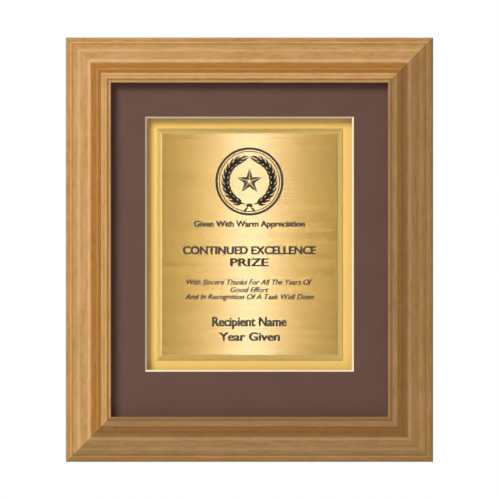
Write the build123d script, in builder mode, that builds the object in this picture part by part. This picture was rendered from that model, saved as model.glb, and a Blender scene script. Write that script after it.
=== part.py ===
from build123d import *
import os

# Framed award plaque.
#
# A mitred oak frame holds a window mat, foam spacers, a gold mount card and an engraved brass plate.
# A hardboard panel closes the back behind turn buttons, and the plaque hangs on two D-rings.
#
# Millimetres. +X is to the right for someone facing the plaque, +Y points into the wall, +Z is up.
# The origin is on the frame's back plane, midway between its edges.

# Engraved plate, and the mat that frames it
plate_width = 203.2
plate_height = 254.0
plate_reveal = 12.7  # gold card left showing round the plate
window_width = plate_width + 2 * plate_reveal
window_height = plate_height + 2 * plate_reveal
mat_border_side = 37.2
mat_border_top = 37.0
mat_border_bottom = 49.2

# Moulding
rail_width = 49.6
lip_width = 6.7  # part of the rail that overhangs the mat
sight_width = window_width + 2 * mat_border_side
sight_height = window_height + mat_border_top + mat_border_bottom
outer_width = sight_width + 2 * rail_width
outer_height = sight_height + 2 * rail_width
back_face_width = rail_width - lip_width

# Layers in the rabbet, listed from the front to the back
mat_thickness = 2.0
spacer_thickness = 8.4
card_thickness = 1.5
filler_thickness = 1.6
panel_thickness = 3.0
panel_recess = 0.1  # the panel sits this far inside the back plane
layer_clearance = 1.0  # gap between each layer's edge and the rabbet's wall
layer_width = sight_width + 2 * (lip_width - layer_clearance)
layer_height = sight_height + 2 * (lip_width - layer_clearance)
panel_front = panel_recess + panel_thickness
filler_front = panel_front + filler_thickness
card_front = filler_front + card_thickness
spacer_front = card_front + spacer_thickness
rabbet_depth = spacer_front + mat_thickness

# The window and the plate share a centre, above the frame's own
window_z = (mat_border_bottom - mat_border_top) / 2

# Spacers under the mat
spacer_width = 25.0
spacer_edge_gap = 2.0

# Plate
tape_thickness = 0.3
tape_width = 19.0
tape_length = 220.0
tape_pitch = 75.0
plate_rim_thickness = 0.7
plate_bevel_width = 4.2
plate_bevel_rise = 0.5
plate_step_width = 1.3
plate_step_rise = 0.5
plate_back = card_front + tape_thickness

# V-nails across the mitres
v_nail_leg = 5.0
v_nail_sheet = 0.6
v_nail_depth = 10.0
v_nail_recess = 0.3
v_nail_insets = (12.0, 30.0)  # from the frame's outer corner, along X and along Z

# Wood screws
shank_radius = 1.5
screw_length = 13.0
screw_point = 3.0
head_radius = 3.2
head_height = 1.9
head_edge = 0.6
head_corner = 1.5
crown_radius = 2.2
recess_length = 3.6
recess_slot = 0.8
recess_depth = 1.2
recess_taper = 12
pilot_clearance = 0.05
pilot_depth = screw_length

# Turn buttons
button_thickness = 1.0
button_gap = 0.1
button_reach = 18.0
button_pivot_radius = 5.5
button_tip_radius = 4.2
button_hole_radius = shank_radius + 0.08
button_edge = 0.25
button_dimple_radius = 2.0
button_dimple_height = 0.7
button_pivot_inset = 7.0  # from the rabbet's wall, out over the rail
button_z = 135.0  # height of the side buttons above and below the centre

# D-ring hangers
hanger_z = 70.0
hanger_x = outer_width / 2 - back_face_width / 2
strap_sheet = 0.8
web_foot = (-4.6, -3.6)
web_head = ((-1.5, 3.69), (-1.2, 2.75))
strap_width = 10.0
strap_length = 34.0
strap_end_radius = 4.5
strap_hole_radius = 1.9
strap_holes = (20.0, 28.5)  # below the pivot
wire_radius = 1.25
eye_radius = wire_radius + 0.1
knuckle_radius = eye_radius + strap_sheet
ring_half_width = 8.6
ring_corner_radius = 3.0
ring_side_length = 2.4
ring_tilt = 4.5  # degrees from straight down, where the ring leans on its strap

# Wall bumpers
bumper_radius = 6.5
bumper_thickness = 5.0
bumper_edge = 0.9
bumper_inset = back_face_width / 2

os.makedirs("parts", exist_ok=True)

BACK = Vector(0, 1, 0)
FRONT = Vector(0, -1, 0)


def save(name, part):
    """Labels a finished piece and writes it as its own node."""
    part.label = name
    export_step(part, f"parts/{name}.step")


def front_plane(height, x=0.0, z=0.0):
    """A plane parallel to the wall, height in front of the back plane, facing the viewer."""
    return Plane(origin=(x, -height, z), x_dir=(1, 0, 0), z_dir=FRONT)


def back_plane(height=0.0, x=0.0, z=0.0):
    """A plane parallel to the wall, height behind the back plane, facing the wall."""
    return Plane(origin=(x, height, z), x_dir=(1, 0, 0), z_dir=BACK)


# ---------------------------------------------------------------- fixing positions on the back
side_pivot_x = outer_width / 2 - back_face_width + button_pivot_inset
end_pivot_z = outer_height / 2 - back_face_width + button_pivot_inset
button_places = {
    "turn_button_left_upper": (-side_pivot_x, button_z, (1, 0, 0)),
    "turn_button_left_lower": (-side_pivot_x, -button_z, (1, 0, 0)),
    "turn_button_right_upper": (side_pivot_x, button_z, (-1, 0, 0)),
    "turn_button_right_lower": (side_pivot_x, -button_z, (-1, 0, 0)),
    "turn_button_top": (0, end_pivot_z, (0, 0, -1)),
    "turn_button_bottom": (0, -end_pivot_z, (0, 0, 1)),
}
button_pivots = [(x, z) for x, z, inward in button_places.values()]
hanger_screw_places = [(side * hanger_x, hanger_z - drop) for side in (-1, 1) for drop in strap_holes]


# ---------------------------------------------------------------- V-nails
def v_nail_outline(corner_x, corner_z):
    """The two nails of one corner in plan, each an L whose legs run into the two rails."""
    for inset in v_nail_insets:
        apex_x = corner_x * (outer_width / 2 - inset)
        apex_z = corner_z * (outer_height / 2 - inset)
        away = v_nail_leg / 2 - v_nail_sheet / 2
        # a plane that faces the viewer has its own Y up
        with Locations((apex_x - corner_x * away, apex_z)):
            Rectangle(v_nail_leg, v_nail_sheet)
        with Locations((apex_x, apex_z - corner_z * away)):
            Rectangle(v_nail_sheet, v_nail_leg)


with BuildSketch(front_plane(0)) as v_nail_plan:
    for corner_x in (-1, 1):
        for corner_z in (-1, 1):
            v_nail_outline(corner_x, corner_z)

with BuildPart() as v_nail_pockets:
    extrude(v_nail_plan.sketch, amount=v_nail_recess + v_nail_depth)

with BuildPart() as corner_v_nails:
    extrude(v_nail_plan.sketch, amount=v_nail_recess + v_nail_depth)
    extrude(v_nail_plan.sketch, amount=v_nail_recess, mode=Mode.SUBTRACT)
save("corner_v_nails", corner_v_nails.part)


# ---------------------------------------------------------------- frame rails
def moulding_outline():
    """The rail's section: X runs in from the outer edge and Y forward from the back plane."""
    # outer side, rounded shoulder, small bead and quirk
    Line((0, 0), (0, 17.6))
    RadiusArc((0, 17.6), (2.4, 20.0), 2.4)
    Line((2.4, 20.0), (4.6, 20.1))
    ThreePointArc((4.6, 20.1), (6.0, 20.6), (7.0, 20.45))
    ThreePointArc((7.0, 20.45), (7.7, 20.45), (8.4, 20.8))
    # broad band that climbs to the crest, then the roll-over
    ThreePointArc((8.4, 20.8), (16.4, 26.0), (25.0, 29.7))
    ThreePointArc((25.0, 29.7), (26.6, 30.0), (28.3, 29.6))
    # scoop, fine bead and shallow groove
    ThreePointArc((28.3, 29.6), (31.0, 28.6), (34.2, 28.0))
    ThreePointArc((34.2, 28.0), (35.2, 28.2), (36.2, 27.8))
    ThreePointArc((36.2, 27.8), (37.6, 27.5), (39.0, 27.55))
    # inner step
    Line((39.0, 27.55), (39.4, 28.0))
    ThreePointArc((39.4, 28.0), (40.4, 28.25), (41.8, 28.1))
    Line((41.8, 28.1), (45.0, 27.6))
    Line((45.0, 27.6), (45.7, 27.1))
    # groove, sight-edge bead and the rabbet
    ThreePointArc((45.7, 27.1), (46.5, 26.85), (47.5, 26.85))
    ThreePointArc((47.5, 26.85), (48.5, 26.95), (rail_width, 26.4))
    Line((rail_width, 26.4), (rail_width, rabbet_depth))
    Line((rail_width, rabbet_depth), (back_face_width, rabbet_depth))
    Line((back_face_width, rabbet_depth), (back_face_width, 0))
    Line((back_face_width, 0), (0, 0))


def frame_rail(start, along, inward, length):
    """One mitred rail, from the outer corner at start, with its V-nail pockets and pilot holes."""
    start, along, inward = Vector(start), Vector(along), Vector(inward)
    end = start + along * length
    with BuildPart() as rail:
        with BuildSketch(Plane(origin=start, x_dir=inward, z_dir=along)):
            with BuildLine():
                moulding_outline()
            make_face()
        extrude(amount=length)
        split(bisect_by=Plane(origin=start, z_dir=along - inward))
        split(bisect_by=Plane(origin=end, z_dir=-along - inward))
        add(v_nail_pockets.part, mode=Mode.SUBTRACT)
        box = rail.part.bounding_box()
        screws = button_pivots + hanger_screw_places
        for x, z in screws:
            if box.min.X < x < box.max.X and box.min.Z < z < box.max.Z:
                with Locations(Location(back_plane(x=x, z=z))):
                    Hole(shank_radius + pilot_clearance, depth=pilot_depth)
    return rail.part


half_width, half_height = outer_width / 2, outer_height / 2
rails = {
    "frame_rail_bottom": ((-half_width, 0, -half_height), (1, 0, 0), (0, 0, 1), outer_width),
    "frame_rail_right": ((half_width, 0, -half_height), (0, 0, 1), (-1, 0, 0), outer_height),
    "frame_rail_top": ((half_width, 0, half_height), (-1, 0, 0), (0, 0, -1), outer_width),
    "frame_rail_left": ((-half_width, 0, half_height), (0, 0, -1), (1, 0, 0), outer_height),
}
for name, (start, along, inward, length) in rails.items():
    save(name, frame_rail(start, along, inward, length))


# ---------------------------------------------------------------- layers in the rabbet
def layer(front, thickness):
    """A plain sheet that fills the rabbet, its face at the given height in front of the back plane."""
    with BuildPart() as sheet:
        with BuildSketch(front_plane(front - thickness)):
            Rectangle(layer_width, layer_height)
        extrude(amount=thickness)
    return sheet.part


with BuildPart() as mat_board:
    add(layer(rabbet_depth, mat_thickness))
    # the window is bevelled at 45 degrees and is widest at the mat's face
    with BuildSketch(front_plane(rabbet_depth, z=window_z)):
        Rectangle(window_width, window_height)
    extrude(amount=-mat_thickness, taper=45, mode=Mode.SUBTRACT)
save("mat_board", mat_board.part)

spacer_side_x = layer_width / 2 - spacer_edge_gap - spacer_width / 2
spacer_end_z = layer_height / 2 - spacer_edge_gap - spacer_width / 2
spacer_side_length = layer_height - 2 * (spacer_edge_gap + spacer_width)
spacer_end_length = layer_width - 2 * spacer_edge_gap
spacers = {
    "mat_spacer_left": (-spacer_side_x, 0, spacer_width, spacer_side_length),
    "mat_spacer_right": (spacer_side_x, 0, spacer_width, spacer_side_length),
    "mat_spacer_top": (0, spacer_end_z, spacer_end_length, spacer_width),
    "mat_spacer_bottom": (0, -spacer_end_z, spacer_end_length, spacer_width),
}
for name, (x, z, width, height) in spacers.items():
    with BuildPart() as spacer:
        with BuildSketch(front_plane(card_front, x, z)):
            Rectangle(width, height)
        extrude(amount=spacer_thickness)
    save(name, spacer.part)

save("gold_mount_card", layer(card_front, card_thickness))
save("filler_board", layer(filler_front, filler_thickness))
save("back_panel", layer(panel_front, panel_thickness))


# ---------------------------------------------------------------- engraved plate and its tape
with BuildPart() as plate_mounting_tape:
    with BuildSketch(front_plane(card_front, z=window_z)):
        with GridLocations(tape_pitch, 1, 3, 1):
            Rectangle(tape_width, tape_length)
    extrude(amount=tape_thickness)
save("plate_mounting_tape", plate_mounting_tape.part)


def plate_outline(inset):
    """The plate's outline, moved in by inset."""
    Rectangle(plate_width - 2 * inset, plate_height - 2 * inset)


bevel_top = plate_back + plate_rim_thickness + plate_bevel_rise
with BuildPart() as award_plate:
    with BuildSketch(front_plane(plate_back, z=window_z)):
        plate_outline(0)
    extrude(amount=plate_rim_thickness)
    # polished bevel
    with BuildSketch(front_plane(plate_back + plate_rim_thickness, z=window_z)):
        plate_outline(0)
    with BuildSketch(front_plane(bevel_top, z=window_z)):
        plate_outline(plate_bevel_width)
    loft()
    # raised, brushed field with a narrow chamfered step
    with BuildSketch(front_plane(bevel_top, z=window_z)):
        plate_outline(plate_bevel_width)
    with BuildSketch(front_plane(bevel_top + plate_step_rise, z=window_z)):
        plate_outline(plate_bevel_width + plate_step_width)
    loft()
save("award_plate", award_plate.part)


# ---------------------------------------------------------------- screws
def cross_recess():
    """The driver's cross, in a sketch on the screw's crown."""
    Rectangle(recess_length, recess_slot)
    Rectangle(recess_slot, recess_length)


with BuildPart() as screw:
    # the head's underside is at Z = 0
    with BuildSketch(Plane.XZ):
        with BuildLine():
            Polyline((crown_radius, head_height), (0, head_height), (0, -screw_length))
            Polyline((0, -screw_length), (shank_radius, screw_point - screw_length), (shank_radius, 0))
            Polyline((shank_radius, 0), (head_radius, 0), (head_radius, head_edge))
            RadiusArc((head_radius, head_edge), (crown_radius, head_height), -head_corner)
        make_face()
    revolve(axis=Axis.Z)
    with BuildSketch(Plane.XY.offset(head_height)):
        cross_recess()
    extrude(amount=-recess_depth, taper=recess_taper, mode=Mode.SUBTRACT)


def screw_group(places, seat):
    """Screws at the given (x, z) places, each with its head's underside on the seat."""
    with BuildPart() as group:
        with Locations(*[Location(back_plane(seat, x, z)) for x, z in places]):
            add(screw.part)
    return group.part


save("turn_button_screws", screw_group(button_pivots, 2 * button_gap + button_thickness))
save("hanger_screws", screw_group(hanger_screw_places, 2 * strap_sheet))


# ---------------------------------------------------------------- turn buttons
def turn_button(x, z, inward):
    """A pressed steel button that turns about the screw at (x, z), its tip over the back panel."""
    top = button_gap + button_thickness
    with BuildPart() as button:
        with BuildSketch(Plane(origin=(x, button_gap, z), x_dir=inward, z_dir=BACK)):
            with BuildLine():
                CenterArc((0, 0), button_pivot_radius, 0, 360)
                CenterArc((button_reach, 0), button_tip_radius, 0, 360)
            make_hull()
            Circle(button_hole_radius, mode=Mode.SUBTRACT)
        extrude(amount=button_thickness)
        outside = button.edges().group_by(Axis.Y)[-1].sort_by(SortBy.LENGTH)[1:]
        chamfer(outside, button_edge)
        # finger dimple near the tip
        with BuildSketch(Plane(origin=(x, top, z), x_dir=inward, z_dir=BACK)):
            with Locations((button_reach, 0)):
                Circle(button_dimple_radius)
        extrude(amount=button_dimple_height, taper=40)
    return button.part


for name, (x, z, inward) in button_places.items():
    save(name, turn_button(x, z, inward))


# ---------------------------------------------------------------- D-ring hangers
def hanger_strap(x):
    """A folded sheet-steel strap, its knuckle round the ring's straight bar."""
    folded = 2 * strap_sheet
    with BuildPart() as strap:
        # side view: X is height above the pivot and Y is distance behind the frame
        side = Plane(origin=(x - strap_width / 2, 0, hanger_z), x_dir=(0, 0, 1), z_dir=(-1, 0, 0))
        with BuildSketch(side):
            with Locations((0, knuckle_radius)):
                Circle(knuckle_radius)
            with Locations((-strap_length / 2, strap_sheet)):
                Rectangle(strap_length, folded)
            with Locations((0, knuckle_radius)):
                Circle(eye_radius, mode=Mode.SUBTRACT)
            with BuildLine():
                # web that runs from the knuckle's underside down to the fold
                Polyline((web_foot[0], folded), web_head[0], web_head[1], (web_foot[1], folded), close=True)
            make_face()
        extrude(amount=-strap_width)
        lower_corners = strap.edges().filter_by(Axis.Y).group_by(Axis.Z)[0]
        fillet(lower_corners, strap_end_radius)
        for drop in strap_holes:
            with Locations(Location(back_plane(folded, x, hanger_z - drop))):
                Hole(strap_hole_radius, depth=folded)
    return strap.part


def hanger_ring(x):
    """A D of round wire that hangs from its straight bar and leans a little off the strap."""
    upright = Plane(origin=(x, knuckle_radius, hanger_z), x_dir=(1, 0, 0), z_dir=FRONT)
    face = upright.rotated((ring_tilt, 0, 0))
    straight = ring_half_width - ring_corner_radius
    side_end = -ring_corner_radius - ring_side_length
    with BuildPart() as ring:
        with BuildLine(face) as wire:
            Line((-straight, 0), (straight, 0))
            RadiusArc((straight, 0), (ring_half_width, -ring_corner_radius), ring_corner_radius)
            Line((ring_half_width, -ring_corner_radius), (ring_half_width, side_end))
            crown = (0, side_end - ring_half_width)
            ThreePointArc((ring_half_width, side_end), crown, (-ring_half_width, side_end))
            Line((-ring_half_width, side_end), (-ring_half_width, -ring_corner_radius))
            RadiusArc((-ring_half_width, -ring_corner_radius), (-straight, 0), ring_corner_radius)
        with BuildSketch(Plane(origin=wire.line @ 0, z_dir=wire.line % 0)):
            Circle(wire_radius)
        sweep(path=wire.line)
    return ring.part


for side, x in (("left", -hanger_x), ("right", hanger_x)):
    save(f"hanger_strap_{side}", hanger_strap(x))
    save(f"hanger_ring_{side}", hanger_ring(x))


# ---------------------------------------------------------------- wall bumpers
for side, sign in (("left", -1), ("right", 1)):
    with BuildPart() as bumper:
        centre_x = sign * (outer_width / 2 - bumper_inset)
        centre_z = bumper_inset - outer_height / 2
        with BuildSketch(back_plane(x=centre_x, z=centre_z)):
            Circle(bumper_radius)
        extrude(amount=bumper_thickness)
        fillet(bumper.edges().group_by(Axis.Y)[-1], bumper_edge)
    save(f"wall_bumper_{side}", bumper.part)
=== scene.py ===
import math

import bmesh
import bpy
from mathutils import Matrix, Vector


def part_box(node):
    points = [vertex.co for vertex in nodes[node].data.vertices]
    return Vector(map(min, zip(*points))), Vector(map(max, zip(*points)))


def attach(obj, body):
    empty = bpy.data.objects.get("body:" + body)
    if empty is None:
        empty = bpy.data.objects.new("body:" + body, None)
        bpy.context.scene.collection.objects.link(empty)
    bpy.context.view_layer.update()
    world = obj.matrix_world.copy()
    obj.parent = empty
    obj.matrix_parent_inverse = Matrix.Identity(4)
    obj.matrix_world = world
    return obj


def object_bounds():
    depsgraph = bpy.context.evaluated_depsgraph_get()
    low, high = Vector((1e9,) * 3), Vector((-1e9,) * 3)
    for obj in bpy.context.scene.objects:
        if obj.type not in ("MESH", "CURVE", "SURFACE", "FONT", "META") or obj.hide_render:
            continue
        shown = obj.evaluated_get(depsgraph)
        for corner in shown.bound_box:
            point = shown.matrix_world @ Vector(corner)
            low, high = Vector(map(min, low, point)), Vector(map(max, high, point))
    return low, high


# Looks of the framed award plaque. Metres; +X right, +Y into the wall, +Z up, as in the frame.

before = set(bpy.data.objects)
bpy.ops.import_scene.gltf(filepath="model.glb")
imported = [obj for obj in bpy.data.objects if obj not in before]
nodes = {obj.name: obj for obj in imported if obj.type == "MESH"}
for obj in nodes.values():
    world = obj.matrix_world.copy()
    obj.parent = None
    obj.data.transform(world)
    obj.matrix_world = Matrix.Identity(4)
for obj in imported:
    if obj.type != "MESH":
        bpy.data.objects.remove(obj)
cad_box = [list(corner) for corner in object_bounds()]

MM = 0.001

# Places read from the frame
rail_low, rail_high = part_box("frame_rail_left")
half_width = -rail_low.x
half_height = rail_high.z
rail_width = rail_high.x - rail_low.x
front_y = rail_low.y
plate_low, plate_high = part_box("award_plate")
plate_centre = (plate_low + plate_high) / 2
field_y = plate_low.y

# Camera: straight in front, far enough back for the view's width at the frame's front
LENS = 300
SENSOR = 36
VIEW_WIDTH = 0.5461
CAMERA_X = 0.0006
CAMERA_Z = -0.0003


# ---------------------------------------------------------------- material helper
def srgb(red, green, blue):
    """A colour given in 0 to 255 sRGB, as the linear RGBA that a node takes."""
    def linear(value):
        value = value / 255
        return value / 12.92 if value <= 0.04045 else ((value + 0.055) / 1.055) ** 2.4
    return linear(red), linear(green), linear(blue), 1.0


def scaled(colour, factor):
    """A colour times a plain number."""
    return tuple(channel * factor for channel in colour[:3]) + (1.0,)


# A Mix node has sockets for several kinds of value; these are its colour ones.
COLOUR_A = 6
COLOUR_B = 7
COLOUR_OUT = 2


class Look:
    """A procedural material: one Principled shader, and short calls that add nodes to its tree."""

    def __init__(self, name, settings):
        self.material = bpy.data.materials.new(name)
        self.material.use_nodes = True
        self.tree = self.material.node_tree
        self.tree.nodes.clear()
        self.shader = self.tree.nodes.new("ShaderNodeBsdfPrincipled")
        output = self.tree.nodes.new("ShaderNodeOutputMaterial")
        self.tree.links.new(self.shader.outputs["BSDF"], output.inputs["Surface"])
        self.place = self.tree.nodes.new("ShaderNodeTexCoord").outputs["Object"]
        for socket, value in settings.items():
            self.shader.inputs[socket].default_value = value

    def give(self, socket, value):
        """Sets a socket to a number or colour, or joins another node's output to it."""
        if isinstance(value, bpy.types.NodeSocket):
            self.tree.links.new(value, socket)
        else:
            socket.default_value = value

    def paint(self, **channels):
        """Joins outputs to the shader; an underscore in a name stands for a space."""
        for name, value in channels.items():
            self.give(self.shader.inputs[name.replace("_", " ")], value)

    def stretched(self, x, y, z):
        """The object's coordinates, scaled by so many cycles per metre on each axis."""
        mapping = self.tree.nodes.new("ShaderNodeMapping")
        self.give(mapping.inputs["Vector"], self.place)
        mapping.inputs["Scale"].default_value = (x, y, z)
        return mapping.outputs["Vector"]

    def moved(self, vector, offset):
        """A vector plus a fixed offset, so that two boards don't share one figure."""
        add = self.tree.nodes.new("ShaderNodeVectorMath")
        add.operation = "ADD"
        self.give(add.inputs[0], vector)
        add.inputs[1].default_value = offset
        return add.outputs["Vector"]

    def noise(self, vector, detail=3.0, roughness=0.5, distortion=0.0):
        """Noise from 0 to 1 at one cycle per unit of the vector."""
        noise = self.tree.nodes.new("ShaderNodeTexNoise")
        self.give(noise.inputs["Vector"], vector)
        noise.inputs["Scale"].default_value = 1.0
        noise.inputs["Detail"].default_value = detail
        noise.inputs["Roughness"].default_value = roughness
        noise.inputs["Distortion"].default_value = distortion
        return noise.outputs["Fac"]

    def ramp(self, value, stops):
        """Turns a number into a colour or a grey by stops of (position, colour or grey)."""
        ramp = self.tree.nodes.new("ShaderNodeValToRGB")
        self.give(ramp.inputs["Fac"], value)
        elements = ramp.color_ramp.elements
        while len(elements) < len(stops):
            elements.new(0.5)
        for element, (position, shade) in zip(elements, stops):
            element.position = position
            element.color = shade if isinstance(shade, tuple) else (shade, shade, shade, 1.0)
        return ramp.outputs["Color"]

    def maths(self, operation, first, second=0.0):
        """One arithmetic step on two numbers."""
        step = self.tree.nodes.new("ShaderNodeMath")
        step.operation = operation
        self.give(step.inputs[0], first)
        self.give(step.inputs[1], second)
        return step.outputs["Value"]

    def mix(self, factor, first, second, blend="MIX"):
        """Mixes two colours."""
        mix = self.tree.nodes.new("ShaderNodeMix")
        mix.data_type = "RGBA"
        mix.blend_type = blend
        self.give(mix.inputs["Factor"], factor)
        self.give(mix.inputs[COLOUR_A], first)
        self.give(mix.inputs[COLOUR_B], second)
        return mix.outputs[COLOUR_OUT]

    def axes(self):
        """The object's X, Y and Z as three numbers."""
        split = self.tree.nodes.new("ShaderNodeSeparateXYZ")
        self.give(split.inputs["Vector"], self.place)
        return split.outputs["X"], split.outputs["Y"], split.outputs["Z"]

    def bump(self, height, distance, under=None):
        """A bump of the given depth in metres, over an earlier one if there is one."""
        bump = self.tree.nodes.new("ShaderNodeBump")
        self.give(bump.inputs["Height"], height)
        bump.inputs["Distance"].default_value = distance
        if under is not None:
            self.give(bump.inputs["Normal"], under)
        return bump.outputs["Normal"]


def dress(name, *looks):
    """Gives a CAD node its materials."""
    materials = nodes[name].data.materials
    materials.clear()
    for look in looks:
        materials.append(look.material)


# ---------------------------------------------------------------- oak moulding
LIGHT_STAIN = srgb(208, 162, 108)
MID_STAIN = srgb(190, 142, 82)
HONEY = srgb(198, 158, 84)
BLUSH = srgb(218, 164, 118)
# pale tone for worn crests and for the painted highlights on them
WEAR_AND_HIGHLIGHT_TONE = srgb(228, 180, 120)
# dark orange-brown for the glaze and for the painted shade in the hollows
GLAZE_AND_SHADE = srgb(172, 110, 26)
PORE = srgb(112, 72, 34)
RAIL = rail_width / MM
MOULDED = 16.7 * MM  # the profile is in front of this height; behind it the rail is plain
SEAM_REACH = 1.0 * MM  # how far the mitre's dark line fades out to each side

# How much of the dark glaze, with painted shade, is left at each distance in from the outer edge, in mm:
# it is wiped off the crests and stays in the quirks, the scoop and the grooves, where it also paints the
# shade that falls in those hollows.
GLAZE_AND_SHADE_LEFT = [
    (0.0, 0.10), (2.0, 0.35), (4.2, 0.45), (5.0, 0.0), (5.8, 0.0), (7.0, 0.75), (7.8, 0.60), (9.2, 0.20),
    (12.5, 0.05), (14.5, 0.0), (17.0, 0.14), (22.5, 0.18), (24.8, 0.0), (27.0, 0.05), (28.8, 0.70),
    (33.6, 1.0), (35.0, 0.60), (36.2, 0.95), (38.6, 1.0), (39.4, 0.10), (41.5, 0.08), (44.4, 0.10),
    (45.6, 0.85), (46.8, 0.85), (47.8, 0.20), (48.8, 0.0), (49.6, 0.10),
]
# Where handling has rubbed the stain paler along the moulding's crests, together with painted highlights
# where those crests catch the light, in the same way.
WEAR_AND_HIGHLIGHT_SHARE = [
    (0.0, 0.3), (1.2, 0.0), (4.8, 0.0), (6.0, 0.6), (7.0, 0.0), (12.0, 0.0), (14.2, 0.5), (17.0, 0.0),
    (23.8, 0.0), (25.6, 0.8), (27.4, 0.0), (34.6, 0.0), (35.2, 0.1), (35.8, 0.0), (39.1, 0.0), (40.2, 0.5),
    (41.6, 0.1), (44.4, 0.4), (45.2, 0.0), (47.8, 0.0), (48.8, 0.6), (49.6, 0.3),
]

# How deep the stain lies across the rails, in the same way; 1 is the plain tone. The stops were set
# band by band to give the wanted tones under this lighting, so they hold painted shade and painted
# highlight
# as well as stain: the right and lower rails stay darker on their inner faces from every side, the lower
# rail over its whole width.
STAIN_DEPTH = 0.90
# painted highlight and shade on a few bands of the left and top rails, as well as stain
LEFT_TOP_STAIN_AND_PAINTED_LIGHT = [
    (0.0, 1.0), (25.8, 1.0), (27.2, 1.3), (28.8, 1.1), (36.8, 1.03),
    (38.5, 0.87), (40.0, 1.05), (43.6, 1.08), (44.6, 1.4), (46.8, 0.92),
]
# painted shade: the right rail is darker on its inner faces than its stain alone makes it
RIGHT_STAIN_AND_PAINTED_SHADE = [
    (0.0, 1.0), (2.8, 0.70), (5.0, 0.90), (6.8, 0.65), (9.0, 1.25), (12.0, 1.25), (15.0, 1.0), (22.6, 0.92),
    (27.0, 0.70), (29.2, 0.50), (36.8, 0.54), (39.0, 0.85), (41.6, 0.60), (45.6, 0.53), (47.8, 0.80),
    (48.9, 0.52),
]
# painted shade: the lower rail is darker over its whole width, most on its inner faces
BOTTOM_STAIN_AND_PAINTED_SHADE = [
    (0.0, 0.78), (2.8, 0.66), (5.0, 0.78), (7.2, 0.66), (9.6, 0.88), (11.6, 0.79), (23.5, 0.78),
    (27.0, 0.72), (29.2, 0.52), (36.8, 0.56), (39.0, 0.68), (42.0, 0.57), (47.8, 0.60), (48.9, 0.45),
]


def oak(name, along_x, seed, stain_and_painted_light=LEFT_TOP_STAIN_AND_PAINTED_LIGHT):
    """Honey-stained oak, its grain along X or along Z, with glaze and painted shade in the moulding's
    hollows and painted highlights along its crests.

    The tones deepen or thin the stain, and paint shade and highlight, at distances in from the outer edge.
    """
    look = Look(name, {"Roughness": 0.45, "Specular IOR Level": 0.3})
    shift = (seed * 3.7, seed * 1.3, seed * 5.1)

    def grain(along, across, deep):
        """Coordinates drawn out along the board."""
        scales = (along, deep, across) if along_x else (across, deep, along)
        return look.moved(look.stretched(*scales), shift)

    figure = look.noise(grain(9, 160, 110), 4.0, 0.55, 0.35)
    mottle = look.noise(grain(42, 90, 90), 3.0, 0.6)
    blotch = look.noise(grain(105, 300, 240), 3.0, 0.6, 0.4)
    blush = look.noise(grain(30, 240, 200), 2.0, 0.5)
    streaks = look.noise(grain(26, 760, 500), 3.0, 0.6)
    pores = look.noise(grain(75, 2600, 1500), 2.0, 0.5)
    flecks = look.noise(grain(330, 520, 300), 2.0, 0.5)

    stain = look.mix(look.ramp(figure, [(0.34, 0.0), (0.66, 1.0)]), LIGHT_STAIN, MID_STAIN)
    stain = look.mix(look.ramp(mottle, [(0.35, 0.45), (0.7, 0.0)]), stain, scaled(MID_STAIN, 0.88))
    stain = look.mix(look.ramp(blotch, [(0.46, 0.0), (0.62, 0.6)]), stain, HONEY)
    stain = look.mix(look.ramp(blotch, [(0.3, 0.45), (0.44, 0.0)]), stain, scaled(MID_STAIN, 0.74))
    stain = look.mix(look.ramp(blush, [(0.5, 0.0), (0.64, 0.55)]), stain, BLUSH)
    stain = look.mix(look.ramp(streaks, [(0.5, 0.0), (0.72, 0.5)]), stain, scaled(MID_STAIN, 0.70))
    stain = look.mix(look.ramp(flecks, [(0.58, 0.0), (0.74, 0.4)]), stain, scaled(LIGHT_STAIN, 1.12))

    # distance in from the outer edge, and from the mitre
    x, y, z = look.axes()
    from_side = look.maths("SUBTRACT", half_width, look.maths("ABSOLUTE", x))
    from_end = look.maths("SUBTRACT", half_height, look.maths("ABSOLUTE", z))
    inward = look.maths("DIVIDE", from_end if along_x else from_side, rail_width)
    # the moulding's profile is only on the front
    front = look.maths("LESS_THAN", y, -MOULDED)
    # wear and painted highlight along the crests
    wear_and_highlight = look.ramp(inward, [(distance / RAIL, share) for distance, share in WEAR_AND_HIGHLIGHT_SHARE])
    wear_and_highlight = look.maths("MULTIPLY", wear_and_highlight, look.ramp(mottle, [(0.3, 0.6), (0.6, 1.0)]))
    stain = look.mix(look.maths("MULTIPLY", wear_and_highlight, front), stain, WEAR_AND_HIGHLIGHT_TONE)
    # glaze and painted shade in the quirks, the scoop and the grooves
    glaze_and_shade = look.ramp(inward, [(distance / RAIL, share) for distance, share in GLAZE_AND_SHADE_LEFT])
    glaze_and_shade = look.maths("MULTIPLY", glaze_and_shade, look.ramp(blotch, [(0.3, 1.0), (0.7, 0.78)]))
    stain = look.mix(look.maths("MULTIPLY", glaze_and_shade, front), stain, GLAZE_AND_SHADE)
    pore_depth = look.ramp(pores, [(0.62, 0.0), (0.74, 1.0)])
    stain = look.mix(look.maths("MULTIPLY", pore_depth, 0.45), stain, PORE)
    off_mitre = look.maths("ABSOLUTE", look.maths("SUBTRACT", from_side, from_end))
    seam = look.ramp(look.maths("DIVIDE", off_mitre, SEAM_REACH), [(0.15, 0.14), (0.45, 0.0)])
    stain = look.mix(seam, stain, scaled(PORE, 0.8))
    # painted shade and highlight: the tone list darkens and lightens bands of the front, some rails more
    # than others
    depth = look.ramp(inward, [(distance / RAIL, tone * STAIN_DEPTH) for distance, tone in stain_and_painted_light])
    stain = look.mix(front, stain, look.mix(1.0, stain, depth, "MULTIPLY"))

    gloss = look.ramp(streaks, [(0.3, 0.4), (0.7, 0.52)])
    hollows = look.maths("SUBTRACT", 1.0, pore_depth)
    relief = look.bump(hollows, 0.00006)
    relief = look.bump(streaks, 0.00005, relief)
    look.paint(Base_Color=stain, Roughness=gloss, Normal=relief)
    return look


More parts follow.
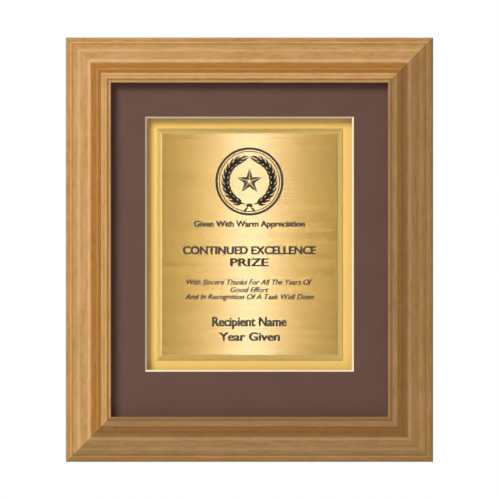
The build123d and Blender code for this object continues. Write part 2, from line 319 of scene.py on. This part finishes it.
# ---------------------------------------------------------------- paper and board
def mat_face():
    """Brown mat paper with a fine felt-like tooth."""
    look = Look("mat_paper_brown", {"Roughness": 0.85, "Specular IOR Level": 0.3})
    tooth = look.noise(look.stretched(2600, 2600, 2600), 3.0, 0.6)
    cloud = look.noise(look.stretched(28, 28, 28), 3.0, 0.6)
    base = srgb(101, 73, 62)
    colour = look.mix(look.ramp(cloud, [(0.3, 0.0), (0.7, 1.0)]), scaled(base, 0.95), scaled(base, 1.06))
    colour = look.mix(look.ramp(tooth, [(0.4, 0.25), (0.7, 0.0)]), colour, scaled(base, 0.7))
    look.paint(Base_Color=colour, Normal=look.bump(tooth, 0.00004))
    return look


def mat_core():
    """The cream core that the bevelled window shows."""
    look = Look("mat_core_cream", {"Roughness": 0.9, "Specular IOR Level": 0.25})
    fibre = look.noise(look.stretched(3200, 3200, 3200), 2.0, 0.5)
    cream = srgb(240, 219, 186)
    colour = look.mix(look.ramp(fibre, [(0.4, 0.2), (0.7, 0.0)]), cream, scaled(cream, 0.88))
    look.paint(Base_Color=colour, Normal=look.bump(fibre, 0.00003))
    return look


def gold_card():
    """Metallic gold card: a satin foil with a faint sparkle."""
    look = Look("gold_card", {"Metallic": 0.1})
    grain = look.noise(look.stretched(1900, 1900, 1900), 2.0, 0.6)
    cloud = look.noise(look.stretched(16, 16, 16), 2.0, 0.5)
    gold = srgb(255, 208, 108)
    colour = look.mix(look.ramp(cloud, [(0.3, 0.0), (0.7, 1.0)]), scaled(gold, 0.96), gold)
    gloss = look.ramp(grain, [(0.35, 0.5), (0.7, 0.6)])
    look.paint(Base_Color=colour, Roughness=gloss, Normal=look.bump(grain, 0.00001))
    return look


def foam_board():
    """Paper-faced foam strip."""
    look = Look("foam_board_white", {"Roughness": 0.9})
    cells = look.noise(look.stretched(1500, 1500, 1500), 2.0, 0.5)
    white = srgb(236, 232, 222)
    look.paint(
        Base_Color=look.mix(look.ramp(cells, [(0.4, 0.2), (0.7, 0.0)]), white, scaled(white, 0.85)),
        Normal=look.bump(cells, 0.0001),
    )
    return look


FLUTE_PITCH = 6.5 * MM
WEAVE_PITCH = 1.6 * MM


def corrugated_board():
    """Tan corrugated board, its flutes running up and down."""
    look = Look("corrugated_board", {"Roughness": 0.88})
    across, through, up = look.axes()
    flute = look.maths("SINE", look.maths("MULTIPLY", across, math.tau / FLUTE_PITCH))
    fibre = look.noise(look.stretched(700, 700, 90), 3.0, 0.6)
    tan = srgb(178, 140, 96)
    look.paint(
        Base_Color=look.mix(look.ramp(fibre, [(0.35, 0.4), (0.7, 0.0)]), tan, scaled(tan, 0.75)),
        Normal=look.bump(flute, 0.0001),
    )
    return look


def hardboard():
    """Dark hardboard with the screen's weave pressed into its back."""
    look = Look("hardboard_brown", {"Roughness": 0.7, "Specular IOR Level": 0.35})
    across, through, up = look.axes()
    turn = math.tau / WEAVE_PITCH
    warp = look.maths("SINE", look.maths("MULTIPLY", across, turn))
    weft = look.maths("SINE", look.maths("MULTIPLY", up, turn))
    weave = look.maths("MULTIPLY", warp, weft)
    fibre = look.noise(look.stretched(620, 620, 620), 4.0, 0.65)
    cloud = look.noise(look.stretched(18, 18, 18), 3.0, 0.6)
    brown = srgb(112, 76, 50)
    colour = look.mix(look.ramp(cloud, [(0.3, 0.0), (0.7, 1.0)]), scaled(brown, 0.86), scaled(brown, 1.1))
    colour = look.mix(look.ramp(fibre, [(0.42, 0.5), (0.62, 0.0)]), colour, scaled(brown, 0.55))
    colour = look.mix(look.ramp(fibre, [(0.62, 0.0), (0.75, 0.4)]), colour, srgb(168, 126, 88))
    relief = look.bump(weave, 0.00005)
    look.paint(Base_Color=colour, Normal=look.bump(fibre, 0.00008, relief))
    return look


def film_tape():
    """Double-sided tape, seen only if the plate is lifted."""
    look = Look("film_tape", {"Roughness": 0.35})
    ripple = look.noise(look.stretched(200, 200, 60), 2.0, 0.5)
    pale = srgb(226, 220, 200)
    look.paint(
        Base_Color=look.mix(look.ramp(ripple, [(0.3, 0.3), (0.7, 0.0)]), pale, scaled(pale, 0.85)),
        Normal=look.bump(ripple, 0.00005),
    )
    return look


# ---------------------------------------------------------------- brass
BRASS = srgb(228, 194, 114)
DEEP_BRASS = srgb(208, 166, 74)


def brushed_brass():
    """The plate's field: fine horizontal brushing, so a lamp shows in it as an upright band."""
    look = Look("brass_brushed", {
        "Metallic": 1.0, "Roughness": 0.24, "Anisotropic": 0.6,
        "Coat Weight": 1.0, "Coat Roughness": 0.11, "Coat IOR": 1.8,
    })
    fine = look.noise(look.stretched(10, 10, 3200), 3.0, 0.65)
    broad = look.noise(look.stretched(5, 5, 420), 3.0, 0.6)
    tone = look.ramp(fine, [(0.3, 0.0), (0.7, 1.0)])
    colour = look.mix(tone, scaled(DEEP_BRASS, 0.84), scaled(DEEP_BRASS, 1.08))
    colour = look.mix(look.ramp(broad, [(0.38, 0.7), (0.58, 0.0)]), colour, scaled(DEEP_BRASS, 0.76))
    upright = look.tree.nodes.new("ShaderNodeCombineXYZ")
    upright.inputs["Z"].default_value = 1.0
    look.paint(
        Base_Color=colour,
        Normal=look.bump(fine, 0.000006),
        Tangent=upright.outputs["Vector"],
    )
    return look


def polished_brass():
    """The plate's bevelled border."""
    look = Look("brass_polished", {"Metallic": 0.92, "Roughness": 0.2})
    swirl = look.noise(look.stretched(240, 240, 240), 3.0, 0.6)
    look.paint(
        Base_Color=look.mix(look.ramp(swirl, [(0.3, 0.2), (0.7, 0.0)]), BRASS, scaled(BRASS, 0.85)),
        Normal=look.bump(swirl, 0.000006),
    )
    return look


def engraving_fill():
    """Dark enamel rubbed into the engraved lines."""
    look = Look("engraving_enamel", {"Roughness": 0.5})
    wear = look.noise(look.stretched(900, 900, 900), 3.0, 0.6)
    dark = srgb(46, 43, 36)
    look.paint(
        Base_Color=look.mix(look.ramp(wear, [(0.35, 0.0), (0.75, 0.5)]), dark, srgb(78, 68, 46)),
        Normal=look.bump(wear, 0.00001),
    )
    return look


# ---------------------------------------------------------------- hardware
def plated_steel(name, colour, roughness):
    """Plated steel with faint press and handling marks."""
    look = Look(name, {"Metallic": 1.0, "Roughness": roughness})
    marks = look.noise(look.stretched(420, 420, 1400), 4.0, 0.65)
    cloud = look.noise(look.stretched(130, 130, 130), 3.0, 0.6)
    tone = look.mix(look.ramp(cloud, [(0.3, 0.0), (0.7, 1.0)]), scaled(colour, 0.82), colour)
    tone = look.mix(look.ramp(marks, [(0.56, 0.0), (0.7, 0.35)]), tone, scaled(colour, 0.6))
    gloss = look.ramp(marks, [(0.3, roughness * 0.8), (0.7, roughness * 1.4)])
    look.paint(Base_Color=tone, Roughness=gloss, Normal=look.bump(marks, 0.00001))
    return look


def rubber():
    """Moulded black rubber."""
    look = Look("rubber_black", {"Roughness": 0.75, "Specular IOR Level": 0.4})
    skin = look.noise(look.stretched(1500, 1500, 1500), 3.0, 0.6)
    black = srgb(38, 38, 38)
    look.paint(
        Base_Color=look.mix(look.ramp(skin, [(0.4, 0.0), (0.75, 0.5)]), black, srgb(64, 63, 61)),
        Normal=look.bump(skin, 0.00006),
    )
    return look


# ---------------------------------------------------------------- dress the CAD nodes
# the lower and right rails take the tone lists with painted shade, so the four are lit and shaded copies of
# one oak
dress("frame_rail_top", oak("oak_top", True, 1))
dress("frame_rail_bottom", oak("oak_bottom", True, 2, BOTTOM_STAIN_AND_PAINTED_SHADE))
dress("frame_rail_left", oak("oak_left", False, 3))
dress("frame_rail_right", oak("oak_right", False, 4, RIGHT_STAIN_AND_PAINTED_SHADE))

# the mat's two flat faces are paper; its edges and the bevel show the core
FACES_FRONT_OR_BACK = 0.9
dress("mat_board", mat_face(), mat_core())
for polygon in nodes["mat_board"].data.polygons:
    polygon.material_index = 0 if abs(polygon.normal.y) > FACES_FRONT_OR_BACK else 1

foam = foam_board()
for side in ("top", "bottom", "left", "right"):
    dress(f"mat_spacer_{side}", foam)
dress("gold_mount_card", gold_card())
dress("filler_board", corrugated_board())
dress("back_panel", hardboard())
dress("plate_mounting_tape", film_tape())

# the plate's field is its foremost flat face
FIELD_TILT = 0.999
FIELD_DEPTH = 0.05 * MM
dress("award_plate", polished_brass(), brushed_brass())
for polygon in nodes["award_plate"].data.polygons:
    is_field = polygon.normal.y < -FIELD_TILT and polygon.center.y < field_y + FIELD_DEPTH
    polygon.material_index = 1 if is_field else 0

zinc = plated_steel("zinc_plated", srgb(205, 205, 200), 0.34)
nickel = plated_steel("nickel_plated", srgb(214, 209, 198), 0.2)
steel = plated_steel("bare_steel", srgb(150, 150, 152), 0.45)
for name in nodes:
    if name.startswith("turn_button") or name.startswith("hanger"):
        dress(name, nickel if "ring" in name else zinc)
dress("corner_v_nails", steel)
black_rubber = rubber()
dress("wall_bumper_left", black_rubber)
dress("wall_bumper_right", black_rubber)


# ---------------------------------------------------------------- engraving
FILL_SUNK = 0.05 * MM
FILL_PROUD = 0.05 * MM
PASS_SHARES = (1.0, 0.9, 0.8)  # of the fill's height, for the middle, left and right passes
SWELL = 0.018  # how far the outlines grow, as a share of the letters' size
enamel = engraving_fill()


def add_piece(name, mesh, look):
    """Puts a finished mesh into the scene, riding on the frame."""
    mesh.materials.clear()
    mesh.materials.append(look.material)
    piece = bpy.data.objects.new(name, mesh)
    bpy.context.scene.collection.objects.link(piece)
    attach(piece, "frame")
    return piece


def text_mesh(words, swell, slant):
    """A line of words as a closed mesh, one unit high, in the XY plane, its outlines swollen a little."""
    curve = bpy.data.curves.new("words", "FONT")
    curve.body = words
    curve.align_x = "CENTER"
    curve.offset = swell
    curve.shear = slant
    curve.extrude = 0.5
    curve.resolution_u = 4
    holder = bpy.data.objects.new("words", curve)
    bpy.context.scene.collection.objects.link(holder)
    bpy.context.view_layer.update()
    made = holder.evaluated_get(bpy.context.evaluated_depsgraph_get())
    mesh = bpy.data.meshes.new_from_object(made)
    bpy.data.objects.remove(holder)
    bpy.data.curves.remove(curve)
    return mesh


def extent(mesh, axis):
    """Lowest and highest coordinate of a mesh on one axis."""
    values = [vertex.co[axis] for vertex in mesh.vertices]
    return min(values), max(values)


CAPITAL = extent(text_mesh("H", 0.0, 0.0), 1)[1]


def engrave(name, words, height, width, capital, weight, slant):
    """Engraves a line of words, its capitals centred at a height above the plate's centre.

    The weight thickens each upright stroke on both sides: the letters are cut three times, side by side.
    """
    mesh = text_mesh(words, SWELL, slant)
    left, right = extent(mesh, 0)
    stretch = (width - 2 * weight) / (right - left)
    rise = capital / CAPITAL
    baseline = plate_centre.z + height - capital / 2
    letters = bmesh.new()
    for shift, share in zip((0.0, -weight, weight), PASS_SHARES):
        first = len(letters.verts)
        letters.from_mesh(mesh)
        letters.verts.ensure_lookup_table()
        for vertex in letters.verts[first:]:
            x, y, z = vertex.co
            depth = FILL_PROUD * share if z > 0 else -FILL_SUNK * share
            across = (x - (left + right) / 2) * stretch + shift
            vertex.co = (across, field_y - depth, baseline + y * rise)
    letters.to_mesh(mesh)
    letters.free()
    return add_piece(name, mesh, enamel)


# name, words, height above the plate's centre, width, height of a capital and weight in mm, and slant
LINES = [
    ("engraving_presented", "Given With Warm Appreciation", 22.4, 122, 6.3, 0.3, 0.0),
    ("engraving_title_upper", "CONTINUED EXCELLENCE", -6.7, 146.5, 8.3, 0.4, 0.0),
    ("engraving_title_lower", "PRIZE", -19.9, 42.5, 8.3, 0.4, 0.0),
    ("engraving_citation_1", "With Sincere Thanks For All The Years Of", -41.6, 138, 5.4, 0.12, 0.3),
    ("engraving_citation_2", "Good Effort", -50.0, 42, 5.4, 0.12, 0.3),
    ("engraving_citation_3", "And In Recognition Of A Task Well Done", -57.6, 142, 5.4, 0.12, 0.3),
    ("engraving_recipient", "Recipient Name", -85.0, 82, 9.8, 0.35, 0.0),
    ("engraving_year", "Year Given", -101.5, 67, 8.8, 0.35, 0.0),
]
for name, words, height, width, capital, weight, slant in LINES:
    engrave(name, words, height * MM, width * MM, capital * MM, weight * MM, slant)


# ---------------------------------------------------------------- emblem: a star in a laurel wreath
EMBLEM_RADIUS = 37.4
EMBLEM_HEIGHT = 68.8  # above the plate's centre
OUTER_RING = 2.6
INNER_RING = 1.0
RING_GAP = 1.2
WREATH_RADIUS = 25.4
LEAVES = 10
LEAF_LENGTH = 10.6
LEAF_WIDTH = 5.0
VEIN = 0.8
STEM_WIDTH = 1.4
STEM_SHARE = 0.8  # the stem's face is this much of the fill's height, so leaves lie over it
STEM_TOP = 24.0  # degrees clockwise from the top
STEM_FOOT = 168.0
LEAF_PITCH = 13.6
LEAF_START = 8.0  # degrees from the stem's foot to its first pair of leaves
LEAF_LEAN = 28.0
LEAF_OFFSET = 0.9  # from the stem's middle to a leaf's stalk
LEAF_STEPS = 8
STAR_RADIUS = 14.5
STAR_POINTS = 5
STAR_WAIST = 0.40
TIE = [(-3.2, -28.0), (3.2, -28.0), (3.2, -24.2), (-3.2, -24.2)]
TIE_TAIL = [(1.0, -28.6), (3.4, -28.6), (7.0, -32.6), (3.8, -32.2)]


def polar(radius, angle):
    """A point at an angle in degrees, counted clockwise from the top."""
    turn = math.radians(angle)
    return Vector((radius * math.sin(turn), radius * math.cos(turn)))


def add_outline(mesh, points):
    """Adds a closed solid tile with the given outline, in mm from the emblem's centre."""
    front_ring, back_ring = [], []
    for x, z in points:
        place = (x * MM, plate_centre.z + (EMBLEM_HEIGHT + z) * MM)
        front_ring.append(mesh.verts.new((place[0], field_y - FILL_PROUD, place[1])))
        back_ring.append(mesh.verts.new((place[0], field_y + FILL_SUNK, place[1])))
    mesh.faces.new(front_ring)
    mesh.faces.new(back_ring[::-1])
    for i in range(len(points)):
        j = (i + 1) % len(points)
        mesh.faces.new((front_ring[i], back_ring[i], back_ring[j], front_ring[j]))


def add_band(mesh, inner, outer, start=0.0, end=360.0, steps=96, share=1.0):
    """Adds a ring, or a part of one, its face at a share of the fill's height."""
    closed = end - start >= 360
    sections = []
    for i in range(steps if closed else steps + 1):
        angle = start + (end - start) * i / steps
        corners = []
        face, floor = -FILL_PROUD * share, FILL_SUNK * share
        for radius, y in ((inner, face), (outer, face), (outer, floor), (inner, floor)):
            point = polar(radius, angle)
            place = (point.x * MM, field_y + y, plate_centre.z + (EMBLEM_HEIGHT + point.y) * MM)
            corners.append(mesh.verts.new(place))
        sections.append(corners)
    pairs = list(zip(sections, sections[1:]))
    if closed:
        pairs.append((sections[-1], sections[0]))
    else:
        mesh.faces.new(sections[0][::-1])
        mesh.faces.new(sections[-1])
    for near, far in pairs:
        for i in range(4):
            j = (i + 1) % 4
            mesh.faces.new((near[i], near[j], far[j], far[i]))


def leaf_half(side):
    """Half of a pointed leaf that grows along +Y from its stalk, beside its vein."""
    outline = []
    for i in range(LEAF_STEPS + 1):
        share = i / LEAF_STEPS
        bulge = math.sin(math.pi * share ** 0.85) * LEAF_WIDTH / 2
        outline.append(Vector((side * (VEIN / 2 + bulge), share * LEAF_LENGTH)))
    return outline


def turned(point, angle):
    """A point turned clockwise by an angle in degrees."""
    turn = math.radians(angle)
    across, up = point
    return Vector((
        across * math.cos(turn) + up * math.sin(turn),
        up * math.cos(turn) - across * math.sin(turn),
    ))


def add_leaf(mesh, radius, angle, lean, mirror):
    """Adds a leaf whose stalk is at a place on the wreath, on one side or mirrored to the other."""
    for side in (-1, 1):
        outline = []
        for point in leaf_half(side):
            placed = turned(point, angle - 90 + lean) + polar(radius, angle)
            outline.append((mirror * placed.x, placed.y))
        add_outline(mesh, outline)


def emblem_mesh():
    """Rings, a laurel wreath in two sprays, their tie, and a five-pointed star."""
    mesh = bmesh.new()
    inner_ring = EMBLEM_RADIUS - OUTER_RING - RING_GAP
    add_band(mesh, EMBLEM_RADIUS - OUTER_RING, EMBLEM_RADIUS)
    add_band(mesh, inner_ring - INNER_RING, inner_ring)
    stem = (WREATH_RADIUS - STEM_WIDTH / 2, WREATH_RADIUS + STEM_WIDTH / 2)
    for start, end in ((STEM_TOP, STEM_FOOT), (360 - STEM_FOOT, 360 - STEM_TOP)):
        add_band(mesh, *stem, start, end, 36, STEM_SHARE)
    for mirror in (-1, 1):
        for i in range(LEAVES):
            angle = STEM_FOOT - LEAF_START - i * LEAF_PITCH
            add_leaf(mesh, WREATH_RADIUS + LEAF_OFFSET, angle, -LEAF_LEAN, mirror)
            add_leaf(mesh, WREATH_RADIUS - LEAF_OFFSET, angle, LEAF_LEAN, mirror)
        add_leaf(mesh, WREATH_RADIUS, STEM_TOP, 0, mirror)
    add_outline(mesh, TIE)
    for mirror in (-1, 1):
        add_outline(mesh, [(mirror * x, z) for x, z in TIE_TAIL])
    # star: each arm is two long triangles, with a fine gap along its ridge
    step = 360 / STAR_POINTS
    for i in range(STAR_POINTS):
        tip = polar(STAR_RADIUS, i * step)
        for side in (-1, 1):
            notch = polar(STAR_RADIUS * STAR_WAIST, (i + side / 2) * step)
            ridge = polar(VEIN * 0.45, i * step + side * 90)
            add_outline(mesh, [tip + ridge * 0.4, notch, ridge + polar(0.9, i * step)])
    bmesh.ops.recalc_face_normals(mesh, faces=mesh.faces)
    made = bpy.data.meshes.new("engraving_emblem")
    mesh.to_mesh(made)
    mesh.free()
    return made


add_piece("engraving_emblem", emblem_mesh(), enamel)


# ---------------------------------------------------------------- floor, lights and camera
def add_area_light(name, place, width, height, power):
    """A white soft box at a place, turned to face the frame's centre."""
    lamp = bpy.data.lights.new(name, "AREA")
    lamp.shape = "RECTANGLE"
    lamp.size, lamp.size_y = width, height
    lamp.energy = power
    holder = bpy.data.objects.new(name, lamp)
    holder.location = place
    facing = -Vector(place)
    holder.rotation_euler = facing.to_track_quat("-Z", "Y").to_euler()
    bpy.context.scene.collection.objects.link(holder)


FLOOR_DROP = 0.30
FLOOR_HALF = 0.9
floor_z = cad_box[0][2] - FLOOR_DROP
floor_mesh = bpy.data.meshes.new("floor")
corners = [(-1, -1), (1, -1), (1, 1), (-1, 1)]
floor_mesh.from_pydata([(x * FLOOR_HALF, y * FLOOR_HALF, floor_z) for x, y in corners], [], [(0, 1, 2, 3)])
floor = bpy.data.objects.new("floor", floor_mesh)
bpy.context.scene.collection.objects.link(floor)
floor_look = Look("floor_pale", {"Roughness": 0.9})
floor_look.paint(Base_Color=floor_look.ramp(
    floor_look.noise(floor_look.stretched(6, 6, 6), 2.0, 0.5), [(0.3, 0.78), (0.7, 0.8)]
))
floor_mesh.materials.append(floor_look.material)

distance = VIEW_WIDTH * LENS / SENSOR
camera_data = bpy.data.cameras.new("camera")
camera_data.lens = LENS
camera_data.sensor_width = SENSOR
camera = bpy.data.objects.new("camera", camera_data)
camera.location = (CAMERA_X, front_y - distance, CAMERA_Z)
camera.rotation_euler = (math.radians(90), 0, 0)
bpy.context.scene.collection.objects.link(camera)
bpy.context.scene.camera = camera

WORLD_LIGHT = 0.12
# the key gives the shadows, and the strip the bright band down the brass
add_area_light("key", (-1.35, -1.7, 1.55), 1.1, 1.1, 66)
add_area_light("strip", (0, -2.1, 0.01), 0.06, 0.75, 1.2)
add_area_light("panel", (0, -2.2, 0.0), 1.6, 1.6, 0.4)
# the cards and the edge lights show in the plate's step and bevel
add_area_light("left_card", (-1.75, -1.95, 0.0), 0.35, 1.2, 2.0)
add_area_light("top_card", (0.0, -1.95, 1.75), 1.2, 0.35, 2.0)
for side, edge_power in ((-1, 0.75), (1, 0.67)):
    add_area_light(f"far_card_{side + 1}", (side * 2.4, -3.5, 0.0), 1.8, 3.0, 9)
    add_area_light(f"edge_side_{side + 1}", (side * 0.53, -1.9, 0.0), 0.16, 0.85, edge_power)
    add_area_light(f"edge_level_{side + 1}", (0, -1.9, side * 0.53), 0.85, 0.16, 0.63)
add_area_light("back_fill", (0.9, 1.8, 1.2), 1.2, 1.2, 35)

world = bpy.data.worlds.new("studio")
bpy.context.scene.world = world
world.use_nodes = True
tree = world.node_tree
background = tree.nodes["Background"]
rays = tree.nodes.new("ShaderNodeLightPath")
shade = tree.nodes.new("ShaderNodeMix")
shade.data_type = "RGBA"
tree.links.new(rays.outputs["Is Camera Ray"], shade.inputs["Factor"])
shade.inputs[COLOUR_A].default_value = (WORLD_LIGHT, WORLD_LIGHT, WORLD_LIGHT, 1.0)
shade.inputs[COLOUR_B].default_value = (1.0, 1.0, 1.0, 1.0)
tree.links.new(shade.outputs[COLOUR_OUT], background.inputs["Color"])

bpy.context.scene.view_settings.view_transform = "Standard"
